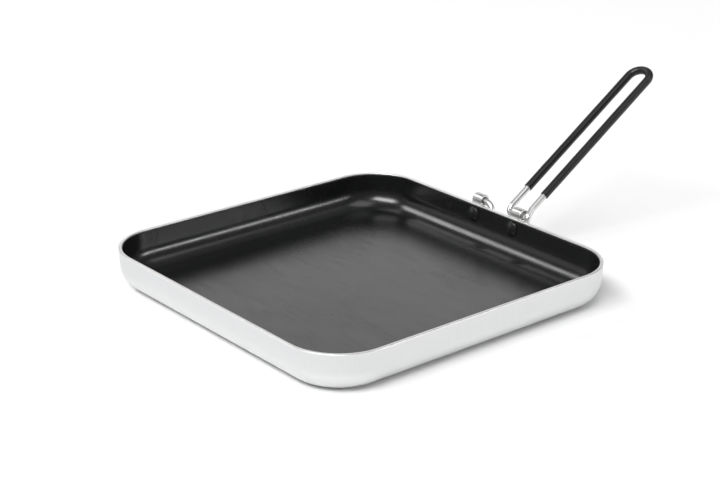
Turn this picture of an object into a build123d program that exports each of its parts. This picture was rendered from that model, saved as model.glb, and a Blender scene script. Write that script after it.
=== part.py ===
"""Square frying pan: a drawn aluminium tray with a non-stick lining and a folding
wire handle that hangs in two riveted clips. Millimetres. The origin is the centre
of the flat base, +Z is up and the handle points along +Y."""

import os
from math import cos, radians, sin, sqrt, tan

from build123d import *

os.makedirs("parts", exist_ok=True)

# Pan: one sheet of aluminium drawn into a shallow square tray
pan_side = 250.0  # outside, across the flats of the rim
pan_height = 27.5
sheet_gauge = 2.3
wall_draft = 2.4  # degrees that each wall leans outwards
rim_corner_radius = 38.5  # outside, seen from above, at the rim
heel_radius = 16.5  # outside, where the wall turns into the base
rim_rounding = 0.5

# Non-stick lining: ends a little below the bare rim
lining_gauge = 0.2
lining_drop = 0.7

# Clips: two strips of stainless sheet, each rolled outwards into an eye at its top
clip_spacing = 39.0
clip_width = 8.6
clip_gauge = 1.25
clip_foot = 3.8  # from the rivet down to the end of the strip
clip_foot_radius = 3.2
eye_rise = 1.9  # height of the eye's centre above the rim
eye_clearance = 0.8  # all round, between the wire and the eye
eye_gap_start = 188.0  # degrees, the rolled end stops short of the strip
eye_gap_end = 226.0

# Rivets: a domed head inside the pan and a flat formed tail outside
rivet_drop = 7.6  # from the rim to the rivet's axis
rivet_shank_diameter = 4.0
rivet_head_diameter = 10.6
rivet_head_height = 2.3
rivet_head_edge = 0.5  # from the flat seat up to the dome
rivet_seat_diameter = 7.8  # flat part under the head
rivet_head_relief = 0.1  # the rest of it rises to its edge, clear of the pan's heel
rivet_tail_diameter = 7.2
rivet_tail_height = 1.3
rivet_tail_chamfer = 0.4

# Handle: one length of stainless wire, bent to a long loop and two hooked ends
wire_diameter = 4.4
handle_rise = 32.8  # degrees above level, held by the stop
handle_reach = 149.2  # hinge axis to the wire's centre line at the far end
leg_spacing = 17.5
legs_centre_x = 16.95
loop_flat = 0.5  # short straight between the two bends at the far end
hook_lead = 4.0  # where the left leg turns down, along it from the hinge axis
hook_lead_radius = 8.0
hook_drop = 3.2  # lowest corner of the hook below the hinge axis
hook_tuck = 1.1  # the same corner, towards the wall
hook_run = 5.3  # the same corner to the straight tip in the right eye
hook_radius = 3.4
tip_radius = 4.0  # where the hook levels out into the right eye
tip_lead = 0.4  # straight tip before it enters the right eye
shoulder_radius = 4.0  # right leg down past the right clip
shoulder_run = 7.0  # length over which the right leg steps aside
step_radius = 6.0
clip_side_gap = 1.7  # right leg to the side of the right clip
tip_overhang = 0.3  # each tip shows this much past its eye
crook_radius = 7.3  # down out of the left eye
crook_lead = 1.1  # straight wire between the left eye and the crook
stop_depth = 15.8  # hinge axis down to the cross bar
stop_radius = 6.8  # at each end of the cross bar
stop_gap = 0.25  # cross bar to the pan when the handle is out

# Grip: a soft sleeve drawn over the loop
sleeve_gauge = 0.75
sleeve_start_left = 22.6  # along the left leg, from the hinge axis
sleeve_start_right = 20.8

# Worked out from the sizes above
lean = radians(wall_draft)
wire_radius = wire_diameter / 2
eye_inner_radius = wire_radius + eye_clearance
eye_outer_radius = eye_inner_radius + clip_gauge
inner_side_x = (clip_spacing - clip_width) / 2
outer_side_x = (clip_spacing + clip_width) / 2


def side_at(height, inset):
    """Length of the pan's side at a height, with each wall moved in by inset."""
    return pan_side - 2 * (pan_height - height) * tan(lean) - 2 * inset


def corner_at(height, inset):
    """Radius of the pan's corner in plan, at the same height and inset."""
    return rim_corner_radius - (pan_height - height) * tan(lean) - inset


def drawn_block(floor, top, inset):
    """Solid tray shape from floor to top, its walls and heel inset from the outside."""
    side = side_at(floor, inset / cos(lean))
    with BuildPart() as block:
        with BuildSketch(Plane.XY.offset(floor)):
            RectangleRounded(side, side, corner_at(floor, inset / cos(lean)))
        extrude(amount=top - floor, taper=-wall_draft)
        fillet(block.edges().group_by(Axis.Z)[0], heel_radius - inset)
    return block.part


def wall_plane(across, drop):
    """Plane on the handle wall's outer face: its z points outwards, its y up the wall."""
    return Plane(
        origin=(across, pan_side / 2 - drop * sin(lean), pan_height - drop * cos(lean)),
        x_dir=(-1, 0, 0),
        z_dir=(0, cos(lean), -sin(lean)),
    )


def drill(place, depth):
    """Rivet hole from a plane inwards through the piece behind it."""
    with BuildSketch(place) as hole:
        Circle(rivet_shank_diameter / 2)
    extrude(hole.sketch, amount=-depth, mode=Mode.SUBTRACT)


rivet_places = {
    "left": wall_plane(-clip_spacing / 2, rivet_drop),
    "right": wall_plane(clip_spacing / 2, rivet_drop),
}
lined_gauge = sheet_gauge + lining_gauge
lining_top = pan_height - lining_drop
outside = drawn_block(0, pan_height, 0)
cavity = drawn_block(sheet_gauge, 2 * pan_height, sheet_gauge)
lined_cavity = drawn_block(lined_gauge, 2 * pan_height, lined_gauge)

# Pan body
with BuildPart() as pan_body:
    add(outside)
    add(cavity, mode=Mode.SUBTRACT)
    fillet(pan_body.edges().group_by(Axis.Z)[-1], rim_rounding)
    for place in rivet_places.values():
        drill(place, 2 * sheet_gauge)
pan_body.part.label = "pan_body"
export_step(pan_body.part, "parts/pan_body.step")

# Non-stick lining
with BuildPart() as nonstick_lining:
    add(cavity)
    split(bisect_by=Plane.XY.offset(lining_top), keep=Keep.BOTTOM)
    add(lined_cavity, mode=Mode.SUBTRACT)
    for place in rivet_places.values():
        drill(place, 2 * lined_gauge)
nonstick_lining.part.label = "nonstick_lining"
export_step(nonstick_lining.part, "parts/nonstick_lining.step")

# Clips: the same strip twice, each drawn from its side and given its width
eye_centre = Vector(eye_outer_radius, eye_rise)
gap_reach = 2 * eye_outer_radius
for side, place in rivet_places.items():
    across = place.origin.X
    rim_plane = wall_plane(across, 0)
    with BuildPart() as clip:
        with BuildSketch(Plane(rim_plane.origin, x_dir=rim_plane.z_dir, z_dir=(1, 0, 0))) as side_view:
            with Locations(eye_centre):
                Circle(eye_outer_radius)
                Circle(eye_inner_radius, mode=Mode.SUBTRACT)
            with BuildLine():
                gap_start = PolarLine(eye_centre, gap_reach, eye_gap_start)
                gap_end = PolarLine(eye_centre, gap_reach, eye_gap_end)
                Line(gap_start @ 1, gap_end @ 1)
            make_face(mode=Mode.SUBTRACT)
            with Locations((0, eye_rise)):
                Rectangle(
                    clip_gauge,
                    eye_rise + rivet_drop + clip_foot,
                    align=(Align.MIN, Align.MAX),
                )
        extrude(amount=clip_width / 2, both=True)
        strip_end = clip.faces().sort_by(Axis.Z)[0]
        fillet(strip_end.edges().filter_by(Axis.X, reverse=True), clip_foot_radius)
        drill(place.offset(2 * clip_gauge), 4 * clip_gauge)
    clip.part.label = f"{side}_clip"
    export_step(clip.part, f"parts/{side}_clip.step")

# Rivets: turned about the shank, the head against the lining, the tail against the clip
shank_radius = rivet_shank_diameter / 2
head_radius = rivet_head_diameter / 2
seat_radius = rivet_seat_diameter / 2
tail_radius = rivet_tail_diameter / 2
head_seat = lined_gauge
head_top = head_seat + rivet_head_height
tail_seat = -clip_gauge
tail_end = tail_seat - rivet_tail_height
for side, place in rivet_places.items():
    inwards = Plane(place.origin, x_dir=place.x_dir, z_dir=place.y_dir)
    with BuildPart() as rivet:
        with BuildSketch(inwards):
            with BuildLine():
                TangentArc(
                    (0, head_top),
                    (head_radius, head_seat + rivet_head_edge),
                    tangent=(1, 0),
                )
                Polyline(
                    (head_radius, head_seat + rivet_head_edge),
                    (head_radius, head_seat + rivet_head_relief),
                    (seat_radius, head_seat),
                    (shank_radius, head_seat),
                    (shank_radius, tail_seat),
                    (tail_radius, tail_seat),
                    (tail_radius, tail_end + rivet_tail_chamfer),
                    (tail_radius - rivet_tail_chamfer, tail_end),
                    (0, tail_end),
                    (0, head_top),
                )
            make_face()
        revolve(axis=Axis(place.origin, place.z_dir))
    rivet.part.label = f"{side}_rivet"
    export_step(rivet.part, f"parts/{side}_rivet.step")

# Hinge axis: the common centre line of both eyes
middle = wall_plane(0, -eye_rise)
hinge_point = middle.origin + middle.z_dir * eye_outer_radius
rise = radians(handle_rise)
leg_direction = Vector(0, cos(rise), sin(rise))


def on_hinge(x):
    """Point on the hinge axis."""
    return Vector(x, hinge_point.Y, hinge_point.Z)


def on_leg(x, along):
    """Point of the handle's loop, a distance along it from the hinge axis."""
    return on_hinge(x) + leg_direction * along


def bar_centre():
    """Y and Z of the cross bar, where it bears on the wall or on the heel below it."""
    height = hinge_point.Z - stop_depth
    stand_off = wire_radius + stop_gap
    below = heel_radius - height
    if below < (heel_radius + stand_off) * sin(lean):
        return side_at(height, 0) / 2 + stand_off / cos(lean), height
    heel_centre_y = side_at(heel_radius, heel_radius / cos(lean)) / 2
    return heel_centre_y + sqrt((heel_radius + stand_off) ** 2 - below**2), height


# Handle wire: left tip, crook, cross bar, right leg, loop, left leg, right tip
loop_radius = (leg_spacing - loop_flat) / 2
left_leg_x = legs_centre_x - leg_spacing / 2
right_leg_x = legs_centre_x + leg_spacing / 2
crook_x = crook_lead + crook_radius - inner_side_x
tip_start_x = inner_side_x - tip_lead
hook_corner = on_hinge(tip_start_x - hook_run) - Vector(0, hook_tuck, hook_drop)
shoulder_x = outer_side_x + clip_side_gap + wire_radius
tip_x = outer_side_x + tip_overhang
bar_y, bar_z = bar_centre()
with BuildPart() as handle_wire:
    with BuildLine() as wire_path:
        FilletPolyline(
            on_hinge(-tip_x),
            on_hinge(crook_x),
            (crook_x, bar_y, bar_z),
            (shoulder_x, bar_y, bar_z),
            on_hinge(shoulder_x),
            on_leg(right_leg_x, shoulder_run),
            on_leg(right_leg_x, handle_reach),
            on_leg(left_leg_x, handle_reach),
            on_leg(left_leg_x, hook_lead),
            hook_corner,
            on_hinge(tip_start_x),
            on_hinge(tip_x),
            radius=(
                crook_radius,
                stop_radius,
                stop_radius,
                shoulder_radius,
                step_radius,
                loop_radius,
                loop_radius,
                hook_lead_radius,
                hook_radius,
                tip_radius,
            ),
        )
    with BuildSketch(Plane(wire_path.line @ 0, z_dir=wire_path.line % 0)):
        Circle(wire_radius)
    sweep(path=wire_path.line)
handle_wire.part.label = "handle_wire"
export_step(handle_wire.part, "parts/handle_wire.step")

# Grip sleeve
with BuildPart() as grip_sleeve:
    with BuildLine() as sleeve_path:
        FilletPolyline(
            on_leg(right_leg_x, sleeve_start_right),
            on_leg(right_leg_x, handle_reach),
            on_leg(left_leg_x, handle_reach),
            on_leg(left_leg_x, sleeve_start_left),
            radius=loop_radius,
        )
    with BuildSketch(Plane(sleeve_path.line @ 0, z_dir=leg_direction)):
        Circle(wire_radius + sleeve_gauge)
        Circle(wire_radius, mode=Mode.SUBTRACT)
    sweep(path=sleeve_path.line)
grip_sleeve.part.label = "grip_sleeve"
export_step(grip_sleeve.part, "parts/grip_sleeve.step")

print(f"hinge axis at Y {hinge_point.Y:.4f}, Z {hinge_point.Z:.4f}")
print(f"cross bar at Y {bar_y:.3f}, Z {bar_z:.3f}")
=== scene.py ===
"""Square frying pan with a folding wire handle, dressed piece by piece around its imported
frame. Metres: the origin is the centre of the flat base, +Z is up, the handle points to +Y."""

import bpy
import numpy as np
from mathutils import Matrix


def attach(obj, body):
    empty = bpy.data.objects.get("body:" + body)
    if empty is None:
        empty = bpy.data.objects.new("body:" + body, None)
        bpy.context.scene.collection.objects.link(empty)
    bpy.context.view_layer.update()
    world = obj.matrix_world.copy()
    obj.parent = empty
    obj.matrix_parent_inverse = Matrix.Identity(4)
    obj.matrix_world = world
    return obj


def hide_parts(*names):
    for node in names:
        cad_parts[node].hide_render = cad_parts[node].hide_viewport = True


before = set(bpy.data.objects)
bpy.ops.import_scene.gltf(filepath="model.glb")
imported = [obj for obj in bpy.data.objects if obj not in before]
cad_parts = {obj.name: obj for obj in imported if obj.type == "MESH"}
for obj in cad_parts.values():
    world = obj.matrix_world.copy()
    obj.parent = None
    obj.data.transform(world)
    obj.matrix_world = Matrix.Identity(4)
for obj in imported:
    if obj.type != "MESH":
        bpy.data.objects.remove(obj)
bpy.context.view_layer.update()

# Drawn pan: one sheet of aluminium pressed into a shallow square tray. The wall leans out a
# little and turns into the base over a wide heel. The trimmed edge is turned round and left
# bare, and the outside keeps a satin finish.
pan_side = 0.250
pan_height = 0.0275
sheet_gauge = 0.0023
wall_lean = np.radians(2.4)
rim_corner_radius = 0.0385
heel_radius = 0.0165
rim_rounding = 0.0005
scuff_reach = 0.006
bare_rim_start, bare_rim_full = 0.0262, 0.0272
heel_steps, wall_steps, rim_steps, floor_steps = 22, 10, 6, 16
corner_steps, side_steps = 30, 40
bend_inset = (pan_height - heel_radius) * np.tan(wall_lean) + heel_radius / np.cos(wall_lean)


def distances(points):
    """Distance walked along a row of points, from the first."""
    return np.concatenate([[0], np.cumsum(np.linalg.norm(np.diff(points, axis=0), axis=1))])


def rim_outline():
    """The rim's outer edge from above, once round: each corner is its centre plus the radius
    times a direction that turns a quarter, and each side runs evenly to the next corner.
    Returns the points, their outward directions and the distance walked."""
    corner = np.arange(4)[:, None]
    angle = (corner + np.linspace(0, 1, corner_steps + 1)) * np.pi / 2
    facing = np.stack([np.cos(angle), np.sin(angle)], axis=-1)
    middle = (corner + 0.5) * np.pi / 2
    spread = np.sqrt(2) * (pan_side / 2 - rim_corner_radius)
    centre = spread * np.stack([np.cos(middle), np.sin(middle)], axis=-1)
    bend = centre + rim_corner_radius * facing
    share = np.linspace(0, 1, side_steps + 1)[1:-1, None]
    side = bend[:, -1:] * (1 - share) + np.roll(bend, -1, axis=0)[:, :1] * share
    points = np.concatenate([bend, side], axis=1).reshape(-1, 2)
    outward = np.concatenate([facing, np.repeat(facing[:, -1:], side_steps - 1, axis=1)], axis=1)
    around = distances(np.concatenate([points, points[:1]]))
    return points, outward.reshape(-1, 2), around


def arc(centre_inset, centre_height, radius, start, end, steps):
    """Round part of a section: inset is the centre's less radius times cosine, height is the
    centre's plus radius times sine, for an angle that goes evenly from start to end."""
    angle = np.linspace(start, end, steps + 1)
    return np.stack(
        [centre_inset - radius * np.cos(angle), centre_height + radius * np.sin(angle)], axis=1
    )


def wall_line(inset, height):
    """How far a wall face, moved in by inset, stands in from the rim's outer edge at a height."""
    return (pan_height - height) * np.tan(wall_lean) + inset / np.cos(wall_lean)


def wall_section(inset, top):
    """Heel and wall of one face, moved in by inset, from the floor to top: a quarter circle
    about the sheet's bend centre, then the leaning straight line."""
    heel = arc(bend_inset, heel_radius, heel_radius - inset, -np.pi / 2, -wall_lean, heel_steps)
    height = np.linspace(heel[-1, 1], top, wall_steps + 1)[1:]
    return np.concatenate([heel, np.stack([wall_line(inset, height), height], axis=1)])


def tray(section):
    """Grid of a closed tray: every point of the section is carried round the rim's outline,
    inwards by its inset. Both ends of the section run on, flat, to the middle of the floor."""
    points, outward, around = rim_outline()
    ring = points - section[:, :1, None] * outward
    height = np.repeat(section[:, 1, None], len(points), axis=1)
    walls = np.concatenate([ring, height[..., None]], axis=-1)
    shrink = (np.arange(1, floor_steps) / floor_steps)[:, None, None]
    level, upright = np.array([1.0, 1.0, 0.0]), np.array([0.0, 0.0, 1.0])
    grid = np.concatenate([
        walls[0] * level * shrink + walls[0] * upright, walls,
        walls[-1] * level * shrink[::-1] + walls[-1] * upright,
    ])
    return grid, around, distances(grid[:, 0])


def skin(name, grid, around, along, ends="closed"):
    """Mesh of a grid of points, rows by columns, whose last column joins the first. A face is
    a cell of four neighbours. Closed ends get a fan to the middle of the row, joined ends run
    from the last row into the first. The UV map is the distance around and along, in metres."""
    rows, columns = grid.shape[:2]
    points = grid.reshape(-1, 3)
    row_count = rows if ends == "joined" else rows - 1
    row, column = np.meshgrid(np.arange(row_count), np.arange(columns), indexing="ij")
    row, column = row.ravel(), column.ravel()
    above, beside = (row + 1) % rows, (column + 1) % columns
    cells = np.stack(
        [row * columns + column, row * columns + beside,
         above * columns + beside, above * columns + column], axis=1
    )
    left, right = around[column], around[column + 1]
    near, far = along[row], along[row + 1]
    across_uv = np.stack([left, right, right, left], 1)
    along_uv = np.stack([near, near, far, far], 1)
    faces, uv = cells.tolist(), [np.stack([across_uv, along_uv], -1).reshape(-1, 2)]
    if ends == "closed":
        points = np.concatenate([points, grid[[0, -1]].mean(axis=1)])
        turn = np.arange(columns)
        following = (turn + 1) % columns
        last, middle = (rows - 1) * columns, rows * columns
        for fan, edge in (
            (np.stack([following, turn, np.full(columns, middle)], 1), along[0]),
            (np.stack([last + turn, last + following, np.full(columns, middle + 1)], 1), along[-1]),
        ):
            faces += fan.tolist()
            across = np.stack([around[turn], around[turn + 1], around[turn]], 1)
            uv.append(np.stack([across, np.full_like(across, edge)], -1).reshape(-1, 2))
    mesh = bpy.data.meshes.new(name)
    mesh.from_pydata(points.tolist(), [], faces)
    mesh.uv_layers.new(name="wrap").uv.foreach_set("vector", np.concatenate(uv).ravel())
    mesh.polygons.foreach_set("use_smooth", np.ones(len(faces), bool))
    mesh.update()
    piece = bpy.data.objects.new(name, mesh)
    bpy.context.scene.collection.objects.link(piece)
    return piece


def new_finish(name):
    """An empty material: its node tree and its shader."""
    material = bpy.data.materials.new(name)
    material.use_nodes = True
    return material, material.node_tree, material.node_tree.nodes["Principled BSDF"]


def node(tree, kind, inputs=None, **options):
    """One shader node. An input is a number, a colour, or another node's output to link."""
    made = tree.nodes.new("ShaderNode" + kind)
    for option, value in options.items():
        setattr(made, option, value)
    for key, value in (inputs or {}).items():
        if isinstance(value, bpy.types.NodeSocket):
            tree.links.new(value, made.inputs[key])
        else:
            made.inputs[key].default_value = value
    return made


def stretched(tree, source, scale):
    """Coordinates of the piece, in metres, stretched by a scale for each direction."""
    return node(tree, "Mapping", {"Vector": source, "Scale": scale}).outputs["Vector"]


def grain(tree, place, scale, detail=3.0, roughness=0.55, distortion=0.0):
    """Cloudy variation from 0 to 1; scale is in features per metre of its coordinates."""
    return node(
        tree, "TexNoise",
        {"Vector": place, "Scale": scale, "Detail": detail, "Roughness": roughness,
         "Distortion": distortion},
    ).outputs["Fac"]


def between(tree, value, low, high, to_low, to_high):
    """Takes value from the range low to high into to_low to to_high, and no further."""
    return node(
        tree, "MapRange",
        {"Value": value, "From Min": low, "From Max": high, "To Min": to_low, "To Max": to_high},
    ).outputs["Result"]


def tint(tree, share, first, second):
    """Mix of two colours, or of another mix and a colour."""
    return node(tree, "Mix", {0: share, 6: first, 7: second}, data_type="RGBA").outputs[2]


def combine(tree, operation, first, second):
    """Arithmetic on two values."""
    return node(tree, "Math", {0: first, 1: second}, operation=operation).outputs[0]


def relief(tree, height, strength, depth, under=None):
    """Fine relief of a given depth in metres, on top of another relief where one is given."""
    inputs = {"Height": height, "Strength": strength, "Distance": depth}
    if under is not None:
        inputs["Normal"] = under
    return node(tree, "Bump", inputs).outputs["Normal"]


def link_finish(tree, shader, colour, roughness, normal):
    """Links a finish's colour, roughness and relief to its shader."""
    tree.links.new(colour, shader.inputs["Base Color"])
    tree.links.new(roughness, shader.inputs["Roughness"])
    tree.links.new(normal, shader.inputs["Normal"])


def seat(piece, cad_node, body, material):
    """The finished piece takes the place of its solid and moves with that solid's body."""
    piece.data.materials.append(material)
    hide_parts(cad_node)
    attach(piece, body)


satin_aluminium, tree, shader = new_finish("satin_aluminium")
spot = node(tree, "TexCoord").outputs["Object"]
wrap = node(tree, "UVMap", uv_map="wrap").outputs["UV"]
height = node(tree, "SeparateXYZ", {"Vector": spot}).outputs["Z"]
draw_lines = grain(tree, stretched(tree, wrap, (2600, 60, 1)), 1.0, 4.0, 0.65)
polish_lines = grain(tree, stretched(tree, wrap, (40, 3800, 1)), 1.0, 3.0)
satin_grain = grain(tree, spot, 3200.0, 2.0)
clouds = grain(tree, spot, 26.0, 3.0, 0.5, 0.4)
scuff_field = grain(tree, stretched(tree, wrap, (700, 60, 1)), 1.0, 5.0, 0.7, 1.5)
near_table = between(tree, height, 0.0, scuff_reach, 1.0, 0.0)
scuffs = combine(tree, "MULTIPLY", between(tree, scuff_field, 0.57, 0.66, 0.0, 1.0),
                 between(tree, near_table, 0.0, 1.0, 0.12, 1.0))
bare_rim = between(tree, height, bare_rim_start, bare_rim_full, 0.0, 1.0)
shade = tint(tree, clouds, (0.745, 0.75, 0.753, 1), (0.795, 0.799, 0.801, 1))
shade = tint(tree, between(tree, draw_lines, 0.3, 0.75, 0.0, 0.35), shade, (0.705, 0.71, 0.715, 1))
shade = tint(tree, combine(tree, "MULTIPLY", scuffs, 0.5), shade, (0.58, 0.585, 0.59, 1))
shade = tint(tree, bare_rim, shade, (0.88, 0.88, 0.875, 1))
dull = combine(tree, "ADD", between(tree, clouds, 0.25, 0.75, 0.42, 0.49),
               between(tree, draw_lines, 0.3, 0.7, 0.0, 0.06))
dull = combine(tree, "ADD", dull, combine(tree, "MULTIPLY", scuffs, 0.16))
dull = combine(tree, "SUBTRACT", dull, combine(tree, "MULTIPLY", bare_rim, 0.13))
surface = relief(tree, satin_grain, 0.16, 0.00003)
surface = relief(tree, draw_lines, 0.12, 0.00003, surface)
surface = relief(tree, polish_lines, 0.06, 0.00002, surface)
surface = relief(tree, scuffs, 0.10, 0.00003, surface)
link_finish(tree, shader, shade, dull, surface)
shader.inputs["Metallic"].default_value = 1.0

rim_middle = pan_height - rim_rounding
rim_tilt = rim_rounding * np.sin(wall_lean)
edge_inset = rim_rounding / np.cos(wall_lean)
pan_section = np.concatenate([
    wall_section(0.0, rim_middle - rim_tilt),
    arc(wall_line(0.0, rim_middle) + edge_inset, rim_middle, rim_rounding,
        -wall_lean, np.pi / 2, rim_steps)[1:],
    arc(wall_line(sheet_gauge, rim_middle) - edge_inset, rim_middle, rim_rounding,
        np.pi / 2, np.pi - wall_lean, rim_steps),
    wall_section(sheet_gauge, rim_middle + rim_tilt)[-2::-1],
])
seat(skin("drawn_pan", *tray(pan_section)), "pan_body", "pan",
     satin_aluminium)

# Non-stick coat: sprayed and baked on the inside of the tray, dark grey and slightly pebbled,
# with fine pale flakes in it. It thins out to nothing just below the bare rim.
lining_gauge = 0.0002
lining_drop = 0.0007
lining_fade = 0.0006

nonstick_coating, tree, shader = new_finish("nonstick_coating")
spot = node(tree, "TexCoord").outputs["Object"]
orange_peel = grain(tree, spot, 620.0, 2.0, 0.5)
fine_grain = grain(tree, spot, 3400.0, 2.0)
cloud = grain(tree, spot, 14.0, 3.0, 0.5, 0.6)
wipes = grain(tree, stretched(tree, spot, (16, 90, 40)), 1.0, 3.0, 0.6, 2.0)
flake = node(tree, "TexVoronoi", {"Vector": spot, "Scale": 1100.0}, feature="F1")
flakes = combine(
    tree, "MULTIPLY", between(tree, flake.outputs["Distance"], 0.10, 0.22, 1.0, 0.0),
    between(tree, node(tree, "SeparateColor", {"Color": flake.outputs["Color"]}).outputs[0],
            0.72, 0.80, 0.0, 1.0),
)
shade = tint(tree, cloud, (0.0048, 0.0052, 0.0053, 1), (0.0078, 0.0083, 0.0084, 1))
shade = tint(tree, combine(tree, "MULTIPLY", flakes, 0.35), shade, (0.070, 0.073, 0.074, 1))
dull = combine(tree, "ADD", between(tree, cloud, 0.3, 0.7, 0.20, 0.24),
               between(tree, wipes, 0.35, 0.7, 0.0, 0.06))
dull = combine(tree, "SUBTRACT", dull, combine(tree, "MULTIPLY", flakes, 0.08))
surface = relief(tree, orange_peel, 0.22, 0.00005)
surface = relief(tree, fine_grain, 0.12, 0.00002, surface)
link_finish(tree, shader, shade, dull, surface)
shader.inputs["IOR"].default_value = 1.6

lining_top = pan_height - lining_drop
lining_section = np.concatenate([
    wall_section(sheet_gauge, lining_top),
    wall_section(sheet_gauge + lining_gauge, lining_top - lining_fade)[::-1],
])
seat(skin("nonstick_coat", *tray(lining_section)), "nonstick_lining", "pan",
     nonstick_coating)

# Clips: two stainless strips, each rolled outwards at its top into an eye for the handle and
# riveted to the outside of the wall. The strip's foot is rounded like a tongue, and its
# edges are tumbled just enough to take the burr off.
clip_spacing = 0.0390
clip_width = 0.0086
clip_gauge = 0.00125
clip_foot_radius = 0.0032
foot_below_rim = 0.0114
eye_rise = 0.0019
eye_outer_radius = 0.00425
eye_end = np.radians(226.0)
clip_edge = 0.00022
end_edge_share = 0.9
foot_stations, straight_stations, roll_stations, edge_stations = 13, 9, 61, 5
full_width_row = 30
wall_up = np.array([0, np.sin(wall_lean), np.cos(wall_lean)])
wall_out = np.array([0, np.cos(wall_lean), -np.sin(wall_lean)])


def strip_line():
    """The strip's middle from foot to rolled end, seen from its side: distance out from the
    wall and height over the rim, the way its outer face looks, and the distance along it.
    It goes straight up, then round a circle about the eye's centre. Close to the foot the
    stations go as one less the cosine of an even angle, so the round end has even steps."""
    round_end = clip_foot_radius * (1 - np.cos(np.linspace(0, np.pi / 2, foot_stations)))
    straight = np.linspace(clip_foot_radius, foot_below_rim + eye_rise, straight_stations)[1:]
    up = np.concatenate([round_end, straight])
    middle_radius = eye_outer_radius - clip_gauge / 2
    turn = np.linspace(np.pi, eye_end - 2 * np.pi, roll_stations)[1:]
    upright = np.stack([np.full_like(up, clip_gauge / 2), up - foot_below_rim], axis=1)
    facing = np.stack([np.cos(turn), np.sin(turn)], axis=1)
    rolled = np.array([eye_outer_radius, eye_rise]) + middle_radius * facing
    outer = np.concatenate([np.repeat([[-1.0, 0.0]], len(up), axis=0), facing])
    line = np.concatenate([upright, rolled])
    return line, outer, distances(line)


def strip_outline(half_width, half_gauge):
    """Section of the strip with small round edges: four quarter circles, joined by the flats."""
    corner = np.arange(4)[:, None]
    angle = ((corner + np.linspace(0, 1, edge_stations)) * np.pi / 2).ravel()
    sign = np.repeat([[1, 1], [-1, 1], [-1, -1], [1, -1]], edge_stations, axis=0)
    across = sign[:, 0] * (half_width[:, None] - clip_edge) + clip_edge * np.cos(angle)
    through = sign[:, 1] * (half_gauge[:, None] - clip_edge) + clip_edge * np.sin(angle)
    return across, through


def rolled_strip(across_x):
    """Grid of a clip: the section is carried along the strip's line. Its half width grows from
    the foot as a quarter circle, and both ends draw in over the tumbled edge. Each ring starts
    on the -X side, which turns the faces outwards."""
    line, outer, along = strip_line()
    from_foot = np.clip(along, 0, clip_foot_radius)
    half_width = (clip_width / 2 - clip_foot_radius
                  + np.sqrt(clip_foot_radius**2 - (clip_foot_radius - from_foot) ** 2))
    from_end = np.minimum(along, along[-1] - along)
    rounding = np.clip(1 - from_end / clip_edge, 0, 1)
    draw_in = clip_edge * (1 - np.sqrt(1 - rounding**2)) * end_edge_share
    across, through = strip_outline(half_width - draw_in, clip_gauge / 2 - draw_in)
    side = line[:, None] + through[..., None] * outer[:, None]
    rim = np.array([0, pan_side / 2, pan_height])
    grid = rim + side[..., :1] * wall_out + side[..., 1:] * wall_up
    grid[..., 0] = across_x - across
    ring = grid[full_width_row]
    around = distances(np.concatenate([ring, ring[:1]]))
    return grid, around, along


clip_steel, tree, shader = new_finish("clip_steel")
wrap = node(tree, "UVMap", uv_map="wrap").outputs["UV"]
spot = node(tree, "TexCoord").outputs["Object"]
mill_lines = grain(tree, stretched(tree, wrap, (5200, 150, 1)), 1.0, 4.0, 0.7)
roll_marks = grain(tree, stretched(tree, wrap, (300, 2600, 1)), 1.0, 3.0, 0.6)
patch = grain(tree, spot, 260.0, 3.0, 0.6, 0.5)
shade = tint(tree, between(tree, mill_lines, 0.32, 0.7, 0.0, 1.0),
             (0.86, 0.856, 0.848, 1), (0.70, 0.697, 0.69, 1))
shade = tint(tree, between(tree, patch, 0.5, 0.8, 0.0, 0.4), shade, (0.90, 0.896, 0.888, 1))
dull = combine(tree, "ADD", between(tree, mill_lines, 0.3, 0.7, 0.30, 0.38),
               between(tree, patch, 0.4, 0.8, 0.0, 0.08))
surface = relief(tree, mill_lines, 0.25, 0.00002)
surface = relief(tree, roll_marks, 0.12, 0.00002, surface)
link_finish(tree, shader, shade, dull, surface)
shader.inputs["Metallic"].default_value = 1.0

for side, sign in (("left", -1), ("right", 1)):
    clip = skin(f"rolled_clip_{side}", *rolled_strip(sign * clip_spacing / 2))
    seat(clip, f"{side}_clip", "pan", clip_steel)

# Rivets: solid aluminium, pushed through from the inside. The domed head is coated together
# with the pan's floor, so it is as dark. The tail is pressed flat outside and stays bare.
rivet_drop = 0.0076
shank_radius = 0.0020
head_radius = 0.0053
head_height = 0.0023
head_edge = 0.0005
seat_radius = 0.0039
head_relief = 0.0001
tail_radius = 0.0036
tail_height = 0.0013
tail_chamfer = 0.0004
tail_dimple = 0.00018
head_break, tail_break = 0.00012, 0.0001
chamfer_round_in, chamfer_round_up = 0.4, 0.12
dimple_reach = 0.7
dome_start, tail_finish = 0.04, 0.05
dome_stations, tail_stations, rivet_steps = 16, 9, 72
shank_row = dome_stations + 3
coat_fade = 0.0002


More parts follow.
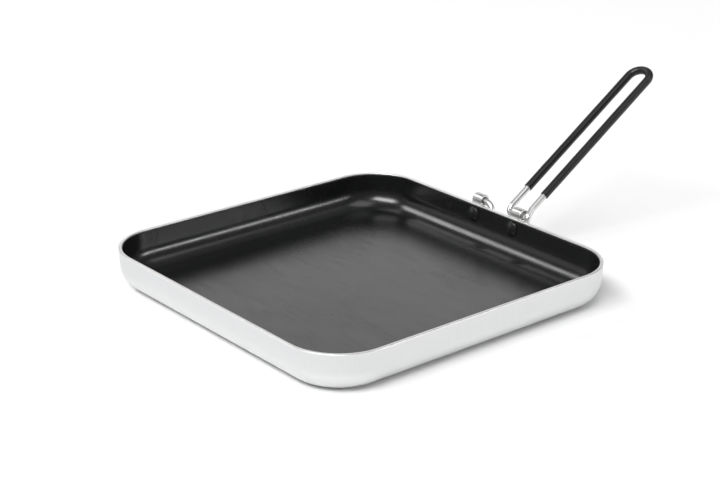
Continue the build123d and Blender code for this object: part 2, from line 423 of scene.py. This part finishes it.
def rivet_section():
    """Half the rivet's outline as radius and depth into the pan, from the middle of the head
    over its dome and down the shank to the middle of the tail. The dome is the circle that is
    level at the middle and meets the edge. The tail's chamfer is rounded by one point outside
    it, and the tail has a shallow round dimple, a cosine of the radius."""
    seat_depth = sheet_gauge + lining_gauge
    crown = head_height - head_edge
    dome_radius = (head_radius**2 + crown**2) / (2 * crown)
    reach = np.arcsin(head_radius / dome_radius)
    angle = np.linspace(dome_start, 1, dome_stations) * reach
    dome = np.stack(
        [dome_radius * np.sin(angle),
         seat_depth + head_height - dome_radius * (1 - np.cos(angle))], axis=1
    )
    bottom = -clip_gauge - tail_height
    flat = np.linspace(tail_radius - tail_chamfer, tail_radius * tail_finish, tail_stations)
    dimple = tail_dimple * np.cos(np.clip(flat / (dimple_reach * tail_radius), 0, 1) * np.pi / 2)
    corners = np.array([
        [head_radius, seat_depth + head_relief + head_break],
        [head_radius - head_break, seat_depth + head_relief],
        [seat_radius, seat_depth],
        [shank_radius, seat_depth],
        [shank_radius, -clip_gauge],
        [tail_radius - tail_break, -clip_gauge],
        [tail_radius, -clip_gauge - tail_break],
        [tail_radius, bottom + tail_chamfer],
        [tail_radius - chamfer_round_in * tail_chamfer, bottom + chamfer_round_up * tail_chamfer],
    ])
    return np.concatenate([dome, corners, np.stack([flat, bottom + dimple], axis=1)])


def turned(section, across_x):
    """Grid of the section turned once about the rivet's axis, which is square to the wall."""
    angle = -np.arange(rivet_steps) / rivet_steps * 2 * np.pi
    foot = np.array([across_x, pan_side / 2, pan_height]) - rivet_drop * wall_up
    spoke = np.cos(angle)[:, None] * np.array([1, 0, 0]) + np.sin(angle)[:, None] * wall_up
    grid = foot + section[:, :1, None] * spoke - section[:, 1:, None] * wall_out
    around = np.arange(rivet_steps + 1) / rivet_steps * 2 * np.pi * head_radius
    return grid, around, distances(section)


coated_rivet, tree, shader = new_finish("coated_rivet")
wrap = node(tree, "UVMap", uv_map="wrap").outputs["UV"]
spot = node(tree, "TexCoord").outputs["Object"]
outline = rivet_section()
head_end = distances(outline)[shank_row]
bare = between(tree, node(tree, "SeparateXYZ", {"Vector": wrap}).outputs["Y"],
               head_end, head_end + coat_fade, 0.0, 1.0)
peel = grain(tree, spot, 900.0, 2.0, 0.5)
turning = grain(tree, stretched(tree, wrap, (90, 5200, 1)), 1.0, 3.0)
mottle = grain(tree, spot, 420.0, 3.0, 0.6)
shade = tint(tree, mottle, (0.0105, 0.0111, 0.0113, 1), (0.0150, 0.0157, 0.0160, 1))
metal_shade = tint(tree, turning, (0.70, 0.705, 0.71, 1), (0.86, 0.862, 0.86, 1))
shade = tint(tree, bare, shade, metal_shade)
tree.links.new(bare, shader.inputs["Metallic"])
dull = combine(tree, "ADD", between(tree, mottle, 0.3, 0.7, 0.15, 0.21),
               combine(tree, "MULTIPLY", turning, 0.06))
surface = relief(tree, peel, 0.14, 0.00003)
surface = relief(tree, turning, 0.08, 0.00002, surface)
link_finish(tree, shader, shade, dull, surface)
shader.inputs["IOR"].default_value = 1.6

for side, sign in (("left", -1), ("right", 1)):
    rivet = skin(f"domed_rivet_{side}", *turned(outline, sign * clip_spacing / 2))
    seat(rivet, f"{side}_rivet", "pan", coated_rivet)

# Handle wire: one length of bright drawn stainless wire. The left tip turns in the left eye,
# a crook leads down to the cross bar that bears on the wall, and the right leg comes up
# beside the right clip, round the loop and back down into a hook in the right eye.
wire_radius = 0.0022
handle_rise = np.radians(32.8)
hinge_y, hinge_z = 0.1293258, 0.0292204
bar_y, bar_z = 0.126723, 0.013420
left_leg_x, right_leg_x = 0.0082, 0.0257
handle_reach = 0.1492
loop_radius = 0.0085
tip_x, tip_start_x = 0.0241, 0.0148
crook_x, shoulder_x, shoulder_run = -0.0068, 0.0277, 0.007
hook_x, hook_lead, hook_tuck, hook_drop = 0.0095, 0.004, 0.0011, 0.0032
crook_radius, stop_radius, shoulder_radius, step_radius = 0.0073, 0.0068, 0.004, 0.006
hook_lead_radius, hook_radius, tip_radius = 0.008, 0.0034, 0.004
tip_chamfer = 0.0004
wire_steps, tip_steps = 40, 4
steady_angle = np.radians(147)


def on_leg(across_x, reach=0.0):
    """Point of the handle's plane: across_x along the hinge, reach out from its axis."""
    return [across_x, hinge_y + reach * np.cos(handle_rise), hinge_z + reach * np.sin(handle_rise)]


def bent(corners, radii, bend_steps=14, straight_steps=8):
    """Line of a bent wire through its corners. At a corner the bend starts at radius times the
    tangent of half the turn before it, and its centre lies a radius to the inner side. The
    straights between the bends get even stations. Returns the points and their directions."""
    corners, radii = np.array(corners), np.array(radii)[:, None]
    runs = np.diff(corners, axis=0)
    heading = runs / np.linalg.norm(runs, axis=1)[:, None]
    first, second = heading[:-1], heading[1:]
    turn = np.arccos(np.clip((first * second).sum(1), -1, 1))[:, None]
    inner = second - first * np.cos(turn)
    inner /= np.linalg.norm(inner, axis=1)[:, None]
    start = corners[1:-1] - first * radii * np.tan(turn / 2)
    angle = (turn * np.linspace(0, 1, bend_steps + 1))[..., None]
    bends = (start + radii * inner)[:, None] + radii[..., None] * (
        first[:, None] * np.sin(angle) - inner[:, None] * np.cos(angle)
    )
    ways = first[:, None] * np.cos(angle) + inner[:, None] * np.sin(angle)
    begin = np.concatenate([corners[:1], bends[:, -1]])[:, None]
    finish = np.concatenate([bends[:, 0], corners[-1:]])[:, None]
    share = np.linspace(0, 1, straight_steps + 1)[:-1, None]
    straights = begin * (1 - share) + finish * share
    straight_ways = np.repeat(heading[:, None], straight_steps, axis=1)
    blocks = [straights[0], bends[0]]
    headings = [straight_ways[0], ways[0]]
    for place in range(1, len(bends)):
        blocks += [straights[place, 1:], bends[place]]
        headings += [straight_ways[place, 1:], ways[place]]
    blocks += [straights[-1, 1:], corners[-1:]]
    headings += [straight_ways[-1, 1:], heading[-1:]]
    return np.concatenate(blocks), np.concatenate(headings)


# Seen along the hinge, every run of the wire points between the legs' rise and nearly upright.
# This direction is well away from all of them, so no section turns over on its way.
steady = np.array([0, np.cos(steady_angle), np.sin(steady_angle)])


def tube(line, ways, radii, along):
    """Grid of a round section carried along a line: centre plus radius times the cosine of an
    angle in one cross direction and its sine in the other."""
    sideways = np.cross(ways, steady)
    sideways /= np.linalg.norm(sideways, axis=1)[:, None]
    upward = np.cross(sideways, ways)
    angle = np.arange(wire_steps) / wire_steps * 2 * np.pi
    ring = (upward[:, None] * np.cos(angle)[:, None] + sideways[:, None] * np.sin(angle)[:, None])
    around = np.arange(wire_steps + 1) / wire_steps * 2 * np.pi * wire_radius
    return line[:, None] + ring * radii[:, None, None], around, along


wire_line, wire_ways = bent(
    [on_leg(-tip_x), on_leg(crook_x), [crook_x, bar_y, bar_z], [shoulder_x, bar_y, bar_z],
     on_leg(shoulder_x), on_leg(right_leg_x, shoulder_run), on_leg(right_leg_x, handle_reach),
     on_leg(left_leg_x, handle_reach), on_leg(left_leg_x, hook_lead),
     [hook_x, hinge_y - hook_tuck, hinge_z - hook_drop], on_leg(tip_start_x), on_leg(tip_x)],
    [crook_radius, stop_radius, stop_radius, shoulder_radius, step_radius, loop_radius,
     loop_radius, hook_lead_radius, hook_radius, tip_radius],
)
tip_rings = np.linspace(0, tip_chamfer, tip_steps + 1)[:, None]
wire_line = np.concatenate([
    wire_line[0] + tip_rings * wire_ways[0], wire_line[1:-1],
    wire_line[-1] - tip_rings[::-1] * wire_ways[-1],
])
wire_ways = np.concatenate([
    np.repeat(wire_ways[:1], tip_steps, axis=0), wire_ways,
    np.repeat(wire_ways[-1:], tip_steps, axis=0),
])
wire_along = distances(wire_line)
from_tip = np.minimum(wire_along, wire_along[-1] - wire_along)
tip_share = np.clip(1 - from_tip / tip_chamfer, 0, 1)
wire_radii = wire_radius - tip_chamfer * (1 - np.sqrt(1 - tip_share**2))

wire_steel, tree, shader = new_finish("wire_steel")
wrap = node(tree, "UVMap", uv_map="wrap").outputs["UV"]
spot = node(tree, "TexCoord").outputs["Object"]
drawing_lines = grain(tree, stretched(tree, wrap, (4200, 45, 1)), 1.0, 4.0, 0.7)
bend_marks = grain(tree, stretched(tree, wrap, (220, 900, 1)), 1.0, 4.0, 0.65, 0.8)
patch = grain(tree, spot, 110.0, 3.0, 0.55)
shade = tint(tree, between(tree, drawing_lines, 0.35, 0.7, 0.0, 1.0),
             (0.74, 0.738, 0.732, 1), (0.66, 0.657, 0.65, 1))
shade = tint(tree, between(tree, bend_marks, 0.58, 0.75, 0.0, 0.3), shade, (0.58, 0.577, 0.57, 1))
dull = combine(tree, "ADD", between(tree, drawing_lines, 0.3, 0.7, 0.30, 0.38),
               between(tree, patch, 0.35, 0.7, 0.0, 0.07))
surface = relief(tree, drawing_lines, 0.18, 0.00002)
surface = relief(tree, bend_marks, 0.10, 0.00003, surface)
link_finish(tree, shader, shade, dull, surface)
shader.inputs["Metallic"].default_value = 1.0

seat(skin("bent_wire", *tube(wire_line, wire_ways, wire_radii, wire_along)),
     "handle_wire", "handle", wire_steel)

# Grip sleeve: a tube of soft black plastic pushed over the loop, so it hugs the wire. It is
# smooth and a little glossy, with faint lines along it. Its two ends are cut square, with a
# slightly rounded edge.
sleeve_gauge = 0.00075
sleeve_lip = 0.00025
lip_stations = 6
swell_height, quick_swell, slow_swell = 0.00003, 210, 93
sleeve_end_left, sleeve_end_right = 0.0226, 0.0208
sleeve_line, sleeve_ways = bent(
    [on_leg(right_leg_x, sleeve_end_right), on_leg(right_leg_x, handle_reach),
     on_leg(left_leg_x, handle_reach), on_leg(left_leg_x, sleeve_end_left)],
    [loop_radius, loop_radius], bend_steps=28, straight_steps=40,
)
sleeve_walk = distances(sleeve_line)
lip_walk = sleeve_lip * (1 - np.cos(np.linspace(0, 1, lip_stations) * np.pi / 2))
stations = np.sort(
    np.concatenate([lip_walk, sleeve_walk[1:-1], sleeve_walk[-1] - lip_walk[::-1]])
)


def on_sleeve(values):
    """The sleeve's line, or its directions, at the stations: each value is read straight
    between its points."""
    return np.stack([np.interp(stations, sleeve_walk, column) for column in values.T], axis=1)


from_cut = np.minimum(stations, stations[-1] - stations)
lip = sleeve_lip * (1 - np.sqrt(1 - np.clip(1 - from_cut / sleeve_lip, 0, 1) ** 2))
swell = swell_height * (np.sin(stations * quick_swell) + np.sin(stations * slow_swell + 1))
outer_radii = wire_radius + sleeve_gauge - lip - np.abs(swell)
inner_radii = np.full_like(outer_radii, wire_radius)
sleeve_points, sleeve_directions = on_sleeve(sleeve_line), on_sleeve(sleeve_ways)
sleeve_directions /= np.linalg.norm(sleeve_directions, axis=1)[:, None]
there_and_back = np.concatenate([np.arange(len(stations)), np.arange(len(stations))[::-1]])
sleeve_along = np.concatenate([stations, stations[-1] * 2 - stations[::-1], [stations[-1] * 2]])

black_rubber, tree, shader = new_finish("black_rubber")
wrap = node(tree, "UVMap", uv_map="wrap").outputs["UV"]
spot = node(tree, "TexCoord").outputs["Object"]
pull_lines = grain(tree, stretched(tree, wrap, (1500, 20, 1)), 1.0, 3.0, 0.6)
pores = grain(tree, spot, 2800.0, 2.0)
handling = grain(tree, spot, 70.0, 4.0, 0.6, 0.5)
shade = tint(tree, handling, (0.0062, 0.0063, 0.0065, 1), (0.0100, 0.0102, 0.0105, 1))
dull = combine(tree, "ADD", between(tree, handling, 0.3, 0.7, 0.27, 0.36),
               between(tree, pull_lines, 0.35, 0.7, 0.0, 0.05))
surface = relief(tree, pull_lines, 0.12, 0.00003)
surface = relief(tree, pores, 0.07, 0.00002, surface)
link_finish(tree, shader, shade, dull, surface)
shader.inputs["IOR"].default_value = 1.49

sleeve_grid = tube(
    sleeve_points[there_and_back], sleeve_directions[there_and_back],
    np.concatenate([outer_radii, inner_radii[::-1]]), sleeve_along,
)
seat(skin("soft_sleeve", *sleeve_grid, ends="joined"),
     "grip_sleeve", "handle", black_rubber)

# Studio: a white table in a dim room. A key lamp stands to the left, a broad one fills from the
# front and one from above. Panels shine from behind, from low on the left and from the right.
# The camera is where the photograph was taken from.
table_size = 5.0
room_brightness = 0.18
lamp_distance = 12.0
floor_mesh = bpy.data.meshes.new("table")
floor_corners = table_size / 2 * np.array([[-1, -1, 0], [1, -1, 0], [1, 1, 0], [-1, 1, 0]])
floor_mesh.from_pydata(floor_corners.tolist(), [], [[0, 1, 2, 3]])
table = bpy.data.objects.new("table", floor_mesh)
bpy.context.scene.collection.objects.link(table)
white_table, _, shader = new_finish("white_table")
shader.inputs["Base Color"].default_value = (0.93, 0.93, 0.93, 1)
shader.inputs["Roughness"].default_value = 0.75
shader.inputs["Specular IOR Level"].default_value = 0.2
floor_mesh.materials.append(white_table)

room = bpy.data.worlds.new("dim_room")
room.use_nodes = True
room_tree = room.node_tree
seen = node(room_tree, "LightPath").outputs["Is Camera Ray"]
room_light = room_tree.nodes["Background"]
room_light.inputs["Color"].default_value = (1, 1, 1, 1)
room_tree.links.new(between(room_tree, seen, 0.0, 1.0, room_brightness, 1.0),
                    room_light.inputs["Strength"])
bpy.context.scene.world = room


def soft_lamp(name, direction, size, brightness):
    """A flat lamp of a width and a height that stands off the pan in a direction and faces it.
    Its power is pi times its area times the brightness of its face."""
    lamp = bpy.data.lights.new(name, "AREA")
    lamp.shape, lamp.size, lamp.size_y = "RECTANGLE", *size
    lamp.energy = np.pi * size[0] * size[1] * brightness
    holder = bpy.data.objects.new(name, lamp)
    bpy.context.scene.collection.objects.link(holder)
    back = np.array(direction, float) / np.linalg.norm(direction)
    right = np.cross((0, 0, 1), back)
    right /= np.linalg.norm(right)
    turn = np.eye(4)
    turn[:3] = np.stack([right, np.cross(back, right), back, back * lamp_distance], axis=1)
    holder.matrix_world = Matrix(turn.tolist())
    holder.visible_camera = False


soft_lamp("key_lamp", (-0.70, -0.27, 0.66), (3.8, 2.4), 7.0)
soft_lamp("top_lamp", (0.30, 0.20, 0.93), (7.2, 7.2), 1.5)
soft_lamp("low_panel", (-0.72, -0.66, 0.20), (7.2, 5.8), 0.48)
soft_lamp("fill_lamp", (0.17, -0.60, 0.79), (10.0, 3.7), 11.5)
soft_lamp("back_panel", (-0.70, 0.60, 0.40), (10.5, 4.8), 0.88)
soft_lamp("side_panel", (0.77, 0.59, 0.29), (4.3, 1.3), 11.5)

camera = bpy.data.cameras.new("camera")
camera.lens, camera.sensor_width = 85.84, 36.0
camera_holder = bpy.data.objects.new("camera", camera)
bpy.context.scene.collection.objects.link(camera_holder)
camera_right = (0.63764, 0.77033, 0.00368)
camera_up = (-0.28283, 0.22966, 0.93127)
camera_back = (0.71654, -0.59485, 0.36431)
camera_stand = (0.8128, -0.6737, 0.4488)
camera_place = np.eye(4)
camera_place[:3] = np.stack([camera_right, camera_up, camera_back, camera_stand], axis=1)
camera_holder.matrix_world = Matrix(camera_place.tolist())
bpy.context.scene.camera = camera_holder
bpy.context.scene.view_settings.view_transform = "Standard"
